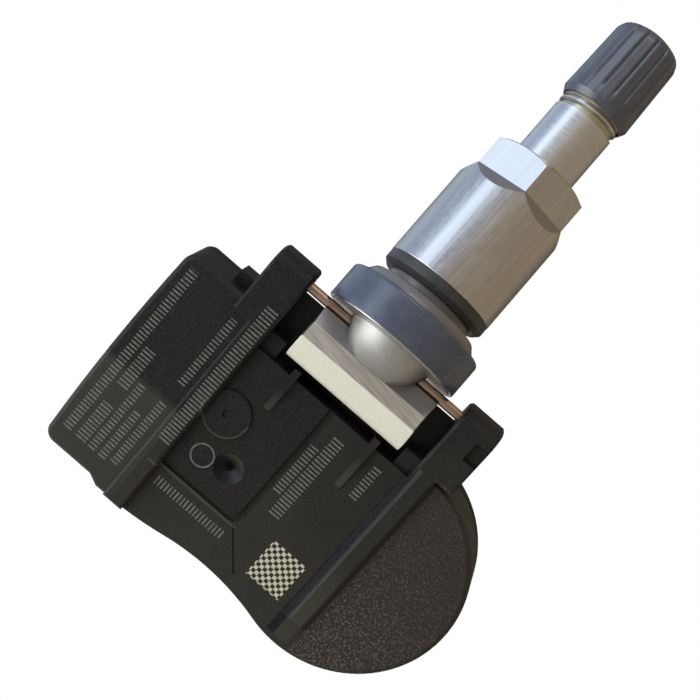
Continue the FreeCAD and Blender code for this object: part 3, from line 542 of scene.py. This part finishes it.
def keep_inside(piece, bm):
    """Keeps the part of a piece that lies inside a blank drawn in mm."""
    bmesh.ops.scale(bm, vec=(mm, mm, mm), verts=bm.verts)
    mesh = bpy.data.meshes.new("blank")
    bm.to_mesh(mesh)
    bm.free()
    blank = bpy.data.objects.new("blank", mesh)
    bpy.context.scene.collection.objects.link(blank)
    cut = piece.modifiers.new("blank", "BOOLEAN")
    cut.operation = "INTERSECT"
    cut.solver = "EXACT"
    cut.object = blank
    bpy.context.view_layer.update()
    kept = bpy.data.meshes.new_from_object(piece.evaluated_get(bpy.context.evaluated_depsgraph_get()))
    piece.modifiers.remove(cut)
    old = piece.data
    piece.data = kept
    bpy.data.meshes.remove(old)
    bpy.data.objects.remove(blank)
    bpy.data.meshes.remove(mesh)


# six flats run out into the collar on a slope; a corner faces the front
levels = [(nut_r + 1, nut_z - 1), (nut_r + 1, collar_top - 1.2), (nut_r, collar_top), (hex_half, hex_z),
          (hex_half, nut_top + 1)]
corners = [(half * 2 / math.sqrt(3), z) for half, z in levels]
column = turn_profile([(0, levels[0][1])] + corners + [(0, levels[-1][1])], 6)
sixth_half = Matrix.Rotation(math.radians(30), 3, "Z")
bmesh.ops.rotate(column, cent=(0, 0, 0), matrix=sixth_half, verts=column.verts)
keep_inside(nut_piece, column)
sharp_smooth(nut_piece, 12)
soften(nut_piece, 0.08, 45, 2)

# Dust cap: dark grey moulded plastic, tapered, with fine grip grooves from its skirt over its crown.
cap_mouth = 29.35
cap_top = 40.45
cap_r = 4.50
crown_r = 4.25
grooves = 17
groove_depth = 0.21
land_bow = 0.03
cap_outline = [
    (shank_r + 0.10, cap_mouth), (cap_r - 0.45, cap_mouth), (cap_r, cap_mouth + 0.8),
    (cap_r - 0.03, cap_mouth + 1.9), (cap_r - 0.04, cap_mouth + 2.2),
]
grip_low = cap_mouth + 2.5
grip_r = cap_r - 0.05
crown_low = cap_top - 1.45
cap_roof = 39.05
for k in range(8):
    cap_outline.append((grip_r + (crown_r - grip_r) * k / 8, grip_low + (crown_low - grip_low) * k / 8))
cap_outline += [
    (crown_r, crown_low), (crown_r - 0.35, cap_top - 0.5), (crown_r - 1.45, cap_top), (0.001, cap_top),
]
last = len(cap_outline) - 1
cap_profile = round_corners(cap_outline, {last - 3: 1.2, last - 2: 1.0, last - 1: 0.6, 1: 0.1, 2: 0.25}, 6)
cap_profile = [(shank_r + 0.10, cap_roof)] + cap_profile
cap = turn_profile(cap_profile, grooves * 14)
for vert in cap.verts:
    r = math.hypot(vert.co.x, vert.co.y)
    if r < 3.0 or vert.co.z < cap_mouth + 1.6 or r < shank_r + 0.12 and vert.co.z < cap_top - 1.5:
        continue
    turn = math.atan2(vert.co.y, vert.co.x) / (2 * math.pi) * grooves
    across = abs(turn - round(turn)) * 2
    hollow = max(0.0, 1 - across / 0.30)
    start = min(1.0, max(0.0, (vert.co.z - cap_mouth - 1.7) / 0.7))
    fade = min(1.0, max(0.0, (r - 3.0) / 0.8))
    depth = groove_depth * start * fade * hollow ** 0.7 + land_bow * across ** 2
    vert.co.x *= (r - depth) / r
    vert.co.y *= (r - depth) / r
cap_grey = Finish("cap_grey")
scuff = cap_grey.noise(cap_grey.place((1, 1, 0.4)), 1.1, 4, 0.6)
skin = cap_grey.noise(cap_grey.place(), 9, 2, 0.5)
cap_grey.set(
    base_color=cap_grey.ramp(scuff, (0.3, (0.038, 0.043, 0.058)), (0.7, (0.060, 0.064, 0.082))),
    roughness=cap_grey.ramp(scuff, (0.3, 0.24), (0.7, 0.36)),
    specular_ior_level=0.95,
    normal=cap_grey.bump(skin, 0.01),
)
cap_piece = to_piece(cap, "cap_grip", "cap", cap_grey.material, "cap_plastic", "dust_cap")
sharp_smooth(cap_piece, 40)


# Valve core and the cap's disc: brass core parts with a red ring, a steel spring and soft black rings.
# They stand inside the valve's tip and show when the cap is off.
def plain_finish(name, dark, light, roughness, metallic=0.0, scale=2.0):
    """A finish for a small part, with a little change of tone over it."""
    finish = Finish(name)
    tone = finish.noise(finish.place(), scale, 3, 0.55)
    finish.set(
        metallic=metallic,
        base_color=finish.ramp(tone, (0.3, dark), (0.7, light)),
        roughness=finish.ramp(tone, (0.3, roughness - 0.05), (0.7, roughness + 0.06)),
        normal=finish.bump(tone, 0.01),
    )
    return finish.material


def paint_node(node, material):
    """Gives a CAD node its finish."""
    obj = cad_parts[node]
    obj.data.materials.clear()
    obj.data.materials.append(material)


core_brass = plain_finish("core_brass", (0.50, 0.36, 0.15), (0.66, 0.50, 0.24), 0.3, 1.0)
paint_node("valve_core_body", core_brass)
paint_node("valve_core_pin", core_brass)
ring_red = plain_finish("core_ring_red", (0.30, 0.03, 0.02), (0.40, 0.05, 0.04), 0.45)
paint_node("valve_core_seal", ring_red)
spring_wire = plain_finish("spring_wire", (0.50, 0.50, 0.50), (0.62, 0.62, 0.61), 0.28, 1.0)
paint_node("valve_core_spring", spring_wire)
soft_black = plain_finish("soft_black", (0.010, 0.010, 0.010), (0.020, 0.020, 0.020), 0.6)
paint_node("valve_core_cup", soft_black)
paint_node("cap_seal", soft_black)

# Housing: a shell and a cover of black glass-filled plastic, welded at a seam. The ears carry the pin,
# and the marked face has raised ends, a straight spine, a rib, fins, an air port and a boss.
pin_place = Vector((0, 0, pin_z))
rest_lean = math.radians(20)
box_side = -12.9
lobe_side = 14.3
lobe_top = -6.5
boss_place = (-8.9, -17.3)
port_place = (-4.7, -22.2)
ring_place = (-7.97, -23.1)
groove_place = -27.25
strokes_per_mm = 2.05
stroke_share = 0.40
cells_per_mm = 1.02


def rounded_copy(name, node, body, material, slot, width):
    """A copy of a CAD node with its facets merged to whole faces and its edges rounded."""
    bm = bmesh.new()
    bm.from_mesh(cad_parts[node].data)
    bmesh.ops.remove_doubles(bm, verts=bm.verts, dist=2e-6)
    bmesh.ops.scale(bm, vec=(1000, 1000, 1000), verts=bm.verts)
    bmesh.ops.dissolve_limit(
        bm, angle_limit=math.radians(1.0), use_dissolve_boundaries=False, verts=bm.verts, edges=bm.edges,
        delimit={"NORMAL"},
    )
    piece = to_piece(bm, name, body, material, slot, node)
    soften(piece, width, 24)
    return piece


def moulded_black(name):
    """Black glass-filled plastic, and the places on it seen square to the marked face."""
    black = Finish(name)
    away = Matrix.Rotation(-math.pi / 2 - rest_lean, 3, "X")
    lean = -90 - math.degrees(rest_lean)
    return black, black.place(turn=(lean, 0, 0), move=-(away @ pin_place))


shell_black, face = moulded_black("shell_black")
across, upward, outward = shell_black.axes(face)
fine = shell_black.noise(face, 4.5, 3, 0.65)
cloud = shell_black.noise(face, 0.09, 3, 0.5)
coarse = shell_black.noise(face, 2.6, 2, 0.5)


def field(x, y, half_w, half_h):
    """A plain rectangular field on the marked face, 1 inside and 0 outside."""
    return (abs(across - x) < half_w) * (abs(upward - y) < half_h)


def distance(place):
    """How far a point of the marked face is from a place on it."""
    x, y = place
    return ((across - x) ** 2 + (upward - y) ** 2) ** 0.5


# laser-etched rows of fine even strokes, a chequered square and a plain ring, without any sign
rows = field(-22.0, -19.0, 0.60, 12.2)
for x, low, high, half in (
    (-19.95, -31.2, -25.6, 0.75), (-20.1, -23.0, -17.4, 0.75), (-18.3, -31.4, -21.2, 0.50),
    (-16.75, -31.4, -24.2, 0.50), (-15.2, -31.0, -21.2, 0.50), (-15.05, -18.2, -8.2, 0.50),
    (-12.4, -24.6, -4.0, 0.80), (1.15, -20.7, -13.3, 0.55), (2.75, -23.2, -10.9, 0.75),
    (8.1, -15.2, -10.5, 0.55),
):
    rows = rows + field(x, (low + high) / 2, half, (high - low) / 2)
strokes = upward.maths("FRACT", upward * strokes_per_mm) < stroke_share
low_strokes = across.maths("FRACT", across * strokes_per_mm) < stroke_share
low_row = field(-5.2, -29.0, 5.2, 0.60) * low_strokes
cells = across.maths("FRACT", across * cells_per_mm) - 0.5
cells = cells * (upward.maths("FRACT", upward * cells_per_mm) - 0.5)
square = field(7.15, -27.85, 2.45, 2.70) * (cells > 0)
from_ring = distance(ring_place)
ring = (from_ring < 1.50) * (from_ring > 1.30)
worn = shell_black.noise(face, 2.0, 3, 0.7)
etched = rows * strokes * 0.8 + low_row * 0.8 + ring * 0.8
etch = shell_black.ramp(worn, (0.36, 0.45), (0.60, 1.0)) * etched * (outward > 1.2)

# the smooth parts are mottled and paler low down, a pale greenish sheen is painted low on the box, painted
# shade darkens the spine's left slope, and the lobe has a coarse speckle
lobe = (across > lobe_side) * (upward < lobe_top)
glint = shell_black.noise(face, 3.8, 2, 0.55)
low_lobe = shell_black.ramp(upward * -0.025 - across * 0.010, (0.15, 0.0), (0.60, 1.0))
spark = shell_black.ramp(glint, (0.50, 0.0), (0.68, 1.0)) * lobe * (0.30 + 0.70 * low_lobe)
mottled_paler_low = cloud * 0.55 + upward * -0.0165 + across * 0.004
skin = shell_black.ramp(mottled_paler_low, (0.24, (0.0030, 0.0030, 0.0042)), (0.78, (0.026, 0.0235, 0.0180)))
# painted sheen: the box is paler and greenish low down
painted_light = shell_black.ramp(upward * -0.03 + cloud * 0.04, (0.63, 0.0), (0.66, 1.0)) * (across < box_side)
skin = shell_black.mix((across < box_side) * (outward > -2), skin, (0.0040, 0.0038, 0.0048))
skin = shell_black.mix(painted_light, skin, (0.034, 0.032, 0.024))
skin = shell_black.mix(lobe, skin, (0.027, 0.023, 0.017))
spine = (abs(upward + 21.0) < 13.0) * (outward > 0.5)
spine_end = shell_black.ramp(upward * -0.03 + cloud * 0.1, (0.70, 0.0), (0.90, 1.0)) * spine
skin = shell_black.mix(spine_end * (abs(across - 12.8) < 1.0), skin, (0.044, 0.042, 0.030))
# painted shade darkens the spine's left slope
skin = shell_black.mix(spine * (abs(across - 11.2) < 0.52), skin, (0.0015, 0.0015, 0.0060))

# the sunk panel is the darkest part, with painted highlights on its boss rim, the fin ends and its groove's
# lip, and a painted shade and highlight in its port
panel = (abs(across + 5.9) < 5.8) * (upward > -26.4) * (upward < -6.0)
skin = shell_black.mix(panel * 0.7, skin, (0.0030, 0.0030, 0.0035))
skin = shell_black.mix(shell_black.ramp(fine, (0.45, 0.0), (0.75, 0.5)), skin, (0.050, 0.046, 0.034))
from_boss = distance(boss_place)
from_port = distance(port_place)
boss_rim = (abs(from_boss - 2.85) < 0.16) * (upward < -16.8)
fin_ends = (abs(abs(across) - 5.88) < 0.42) * (abs(upward + 13.4) < 2.6) * (outward > 1.5)
fin_ends = fin_ends * shell_black.ramp(upward * -0.05, (0.54, 0.1), (0.72, 0.75))
groove_lip = (abs(upward - groove_place) < 0.16) * (abs(across + 6.0) < 6.5)
# painted highlights on the boss rim, the fin ends and the groove's lip
skin = shell_black.mix(boss_rim * 0.8 + fin_ends + groove_lip * 0.8, skin, (0.060, 0.056, 0.040))
# painted shade fills the port, and a painted highlight lies on its upper wall
skin = shell_black.mix(from_port < 1.85, skin, (0.0015, 0.0015, 0.0060))
port_light = shell_black.ramp((upward - port_place[1]) * 0.4, (0.15, 0.0), (0.65, 1.0)) * (from_port < 1.75)
skin = shell_black.mix(port_light, skin, (0.050, 0.047, 0.030))
sparkly = shell_black.mix(spark, skin, (0.16, 0.125, 0.10))
marked = shell_black.mix(etch, sparkly, (0.24, 0.23, 0.20))
shell_black.set(
    base_color=shell_black.mix(square * (outward > 1.2), marked, (0.60, 0.56, 0.43)),
    specular_ior_level=0.26,
    roughness=shell_black.ramp(cloud * 0.6 + fine * 0.4, (0.3, 0.40), (0.7, 0.56)),
    normal=shell_black.bump(fine * 0.5 + coarse * lobe * 0.9, 0.05),
)
rounded_copy("shell_moulding", "housing_shell", "housing", shell_black.material, "shell_plastic", 0.10)

cover_black, cover_face = moulded_black("cover_black")
grain = cover_black.noise(cover_face, 4.5, 3, 0.65)
drift = cover_black.noise(cover_face, 0.09, 3, 0.5)
cover_black.set(
    base_color=cover_black.ramp(drift, (0.35, (0.014, 0.014, 0.0135)), (0.65, (0.026, 0.025, 0.0235))),
    specular_ior_level=0.14,
    roughness=cover_black.ramp(drift * 0.6 + grain * 0.4, (0.3, 0.58), (0.7, 0.70)),
    normal=cover_black.bump(grain, 0.03),
)
rounded_copy("cover_moulding", "back_cover", "housing", cover_black.material, "cover_plastic", 0.25)

# Pivot pin: a drawn steel pin, pressed into both ears and free in the ball, so that the housing swings
# on it. It shows at both sides of the ball.
pin_steel = brushed_metal("pin_steel", (0.50, 0.345, 0.255), 0.28, (0.4, 8, 8), 0.6)
pin_r = 0.6
pin_length = 30.6
pin = bmesh.new()
bmesh.ops.create_cone(pin, cap_ends=True, segments=64, radius1=pin_r, radius2=pin_r, depth=pin_length)
lengthwise = Matrix.Rotation(math.radians(90), 3, "Y")
bmesh.ops.rotate(pin, cent=(0, 0, 0), matrix=lengthwise, verts=pin.verts)
bmesh.ops.translate(pin, vec=pin_place, verts=pin.verts)
pin_piece = to_piece(pin, "swivel_pin", "housing", pin_steel, "pin_steel", "pivot_pin")
soften(pin_piece, 0.08, 40, 2)

# Electronics: a green board with its sensor chip, cell, coil and small parts, soldered and welded
# together and shut inside the housing.
paint_node("circuit_board", plain_finish("board_green", (0.015, 0.09, 0.03), (0.03, 0.14, 0.05), 0.4))
paint_node("sensor_chip", plain_finish("chip_black", (0.012, 0.012, 0.012), (0.02, 0.02, 0.02), 0.5))
paint_node("port_gasket", plain_finish("gasket_grey", (0.10, 0.10, 0.11), (0.14, 0.14, 0.15), 0.6))
cell_steel = plain_finish("cell_steel", (0.58, 0.58, 0.58), (0.66, 0.66, 0.66), 0.3, 1.0)
paint_node("coin_cell", cell_steel)
tab_steel = plain_finish("tab_steel", (0.60, 0.59, 0.56), (0.68, 0.67, 0.64), 0.3, 1.0, 5)
for node in ("cell_tab_top", "cell_tab_bottom", "antenna_strip", "crystal"):
    paint_node(node, tab_steel)
paint_node("coil_core", plain_finish("ferrite_grey", (0.03, 0.03, 0.032), (0.05, 0.05, 0.052), 0.5))
copper = plain_finish("coil_copper", (0.50, 0.20, 0.08), (0.62, 0.28, 0.12), 0.35, 1.0, 8)
paint_node("coil_winding", copper)
tan = plain_finish("capacitor_tan", (0.24, 0.17, 0.11), (0.33, 0.24, 0.16), 0.45)
paint_node("board_capacitors", tan)

# Studio: a plain pale floor under the part, a tall cool lamp like a window to its left, weaker lamps
# in front, below and behind, and a plain room that is white where the camera looks into it.
floor = bmesh.new()
bmesh.ops.create_circle(floor, cap_ends=True, segments=96, radius=0.45)
bmesh.ops.translate(floor, vec=(0, 0, -0.25), verts=floor.verts)
floor_mesh = bpy.data.meshes.new("floor")
floor.to_mesh(floor_mesh)
floor.free()
floor_piece = bpy.data.objects.new("floor", floor_mesh)
bpy.context.scene.collection.objects.link(floor_piece)
pale = Finish("pale_floor")
pale.set(base_color=(0.80, 0.79, 0.77), roughness=0.9)
floor_mesh.materials.append(pale.material)


def soft_lamp(name, direction, reach, width, height, power, colour):
    """A rectangular soft lamp that faces the part."""
    lamp = bpy.data.objects.new(name, bpy.data.lights.new(name, "AREA"))
    lamp.data.shape = "RECTANGLE"
    lamp.data.size = width
    lamp.data.size_y = height
    lamp.data.energy = power
    lamp.data.color = colour
    away = Vector(direction).normalized()
    lamp.matrix_world = Matrix.LocRotScale(away * reach, away.to_track_quat("Z", "Y"), None)
    bpy.context.scene.collection.objects.link(lamp)


soft_lamp("left_lamp", (-0.85, -0.53, 0.05), 0.50, 0.22, 0.60, 0.72, (0.70, 0.85, 1.0))
soft_lamp("front_lamp", (-0.35, -0.75, 0.80), 0.60, 0.40, 0.30, 0.7, (1.0, 1.0, 1.0))
soft_lamp("low_lamp", (-0.75, -0.35, -0.55), 0.35, 0.34, 0.34, 0.88, (1.0, 0.99, 0.95))
soft_lamp("back_lamp", (-0.75, 0.80, 0.15), 0.60, 0.40, 0.40, 0.20, (0.75, 0.88, 1.0))

world = bpy.data.worlds.new("room")
bpy.context.scene.world = world
world.use_nodes = True
room = world.node_tree
ray = room.nodes.new("ShaderNodeTexCoord")
sides = room.nodes.new("ShaderNodeSeparateXYZ")
room.links.new(ray.outputs["Generated"], sides.inputs[0])
walls = room.nodes.new("ShaderNodeValToRGB")
tones = ((0.0, (0.49, 0.61, 0.86)), (0.5, (0.43, 0.375, 0.305)), (1.0, (0.40, 0.325, 0.230)))
while len(walls.color_ramp.elements) < len(tones):
    walls.color_ramp.elements.new(0.5)
for stop, (place, tone) in zip(walls.color_ramp.elements, tones):
    stop.position = place
    stop.color = (*tone, 1)
leftness = room.nodes.new("ShaderNodeMapRange")
leftness.inputs["From Min"].default_value = -1
room.links.new(sides.outputs["X"], leftness.inputs["Value"])
room.links.new(leftness.outputs[0], walls.inputs[0])
dusk = room.nodes.new("ShaderNodeMapRange")
for key, value in (("From Min", 0.50), ("From Max", 0.95), ("To Min", 1.0), ("To Max", 0.12)):
    dusk.inputs[key].default_value = value
room.links.new(sides.outputs["Y"], dusk.inputs["Value"])
backdrop = room.nodes["Background"]
room.links.new(dusk.outputs[0], backdrop.inputs[1])
room.links.new(walls.outputs[0], backdrop.inputs[0])
shown = room.nodes.new("ShaderNodeBackground")
shown.inputs[0].default_value = (1, 1, 1, 1)

# the camera, and metal that mirrors what lies behind the part, both see the white
path = room.nodes.new("ShaderNodeLightPath")
behind = room.nodes.new("ShaderNodeMapRange")
behind.inputs["From Min"].default_value = 0.97
behind.inputs["From Max"].default_value = 0.995
room.links.new(sides.outputs["Y"], behind.inputs["Value"])
mirrored = room.nodes.new("ShaderNodeMath")
mirrored.operation = "ADD"
room.links.new(path.outputs["Is Glossy Ray"], mirrored.inputs[0])
room.links.new(path.outputs["Is Transmission Ray"], mirrored.inputs[1])
mirrored_behind = room.nodes.new("ShaderNodeMath")
mirrored_behind.operation = "MULTIPLY"
room.links.new(mirrored.outputs[0], mirrored_behind.inputs[0])
room.links.new(behind.outputs[0], mirrored_behind.inputs[1])
sees_white = room.nodes.new("ShaderNodeMath")
sees_white.operation = "ADD"
sees_white.use_clamp = True
room.links.new(path.outputs["Is Camera Ray"], sees_white.inputs[0])
room.links.new(mirrored_behind.outputs[0], sees_white.inputs[1])
choose = room.nodes.new("ShaderNodeMixShader")
room.links.new(sees_white.outputs[0], choose.inputs[0])
room.links.new(backdrop.outputs[0], choose.inputs[1])
room.links.new(shown.outputs[0], choose.inputs[2])
room.links.new(choose.outputs[0], room.nodes["World Output"].inputs[0])
